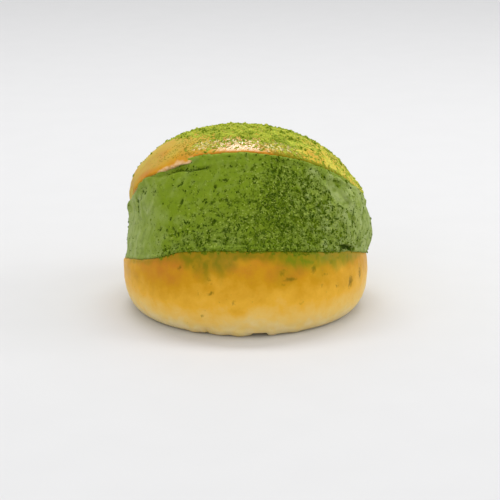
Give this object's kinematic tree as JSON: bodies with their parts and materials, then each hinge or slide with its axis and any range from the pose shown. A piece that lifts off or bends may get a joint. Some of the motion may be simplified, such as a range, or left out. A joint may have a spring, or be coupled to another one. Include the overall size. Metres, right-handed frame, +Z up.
{
  "type": "maritozzo",
  "caption": "Round soft bun slit at the front and turned back on a low hinge, filled flush with a wedge of green tea whipped cream and dusted with green powder.",
  "frame": {"origin": "middle of the bun's flat foot, on the surface it stands on, on the axis that the shut bun is turned about", "axes": "+Z up, -Y towards the open front where the cream shows, +X to the right as seen from the front"},
  "size_m": [0.0879, 0.0912, 0.0646],
  "materials": {
    "bun_crust": "soft baked crust, satin, golden orange and paler towards the foot",
    "whipped_cream": "dense whipped cream smoothed with a spatula, dull, tea green with fine dark green powder"
  },
  "bodies": {
    "root": {"bun": "bun_crust", "cream": "whipped_cream"}
  },
  "joints": []
}
